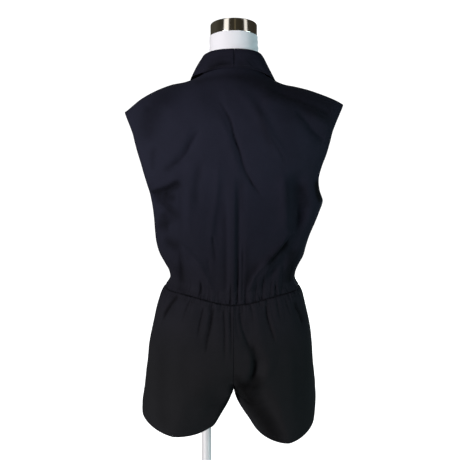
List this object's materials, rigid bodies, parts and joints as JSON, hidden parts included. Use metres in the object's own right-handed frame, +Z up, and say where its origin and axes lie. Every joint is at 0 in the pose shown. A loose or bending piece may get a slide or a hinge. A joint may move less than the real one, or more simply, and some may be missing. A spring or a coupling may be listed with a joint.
{
  "type": "romper on a dress form",
  "caption": "Sleeveless woven romper with a fold-over collar, wrap front, gathered waist and short legs, on a limbless dress form.",
  "frame": {"origin": "middle of the underside of the stand's base plate, on the surface it stands on", "axes": "+X to the wearer's right, +Y to the wearer's front, +Z up; the bodice's back and front meet in the plane Y = 0 and the two legs in the plane X = 0"},
  "size_m": [0.4545, 0.2705, 1.0708],
  "materials": {
    "black_cloth": "soft plain weave with a slight sheen",
    "white_jersey": "stretched cotton jersey over foam",
    "brushed_chrome": "brushed",
    "white_enamel": "smooth powder coat"
  },
  "bodies": {
    "root": {"bodice_back": "black_cloth", "bodice_front_right": "black_cloth", "bodice_front_left": "black_cloth", "collar_right": "black_cloth", "collar_left": "black_cloth", "shorts_back_right": "black_cloth", "shorts_back_left": "black_cloth", "shorts_front_right": "black_cloth", "shorts_front_left": "black_cloth", "form_body": "white_jersey", "neck_cap": "brushed_chrome", "stand_pole": "white_enamel", "stand_base": "white_enamel"}
  },
  "joints": []
}
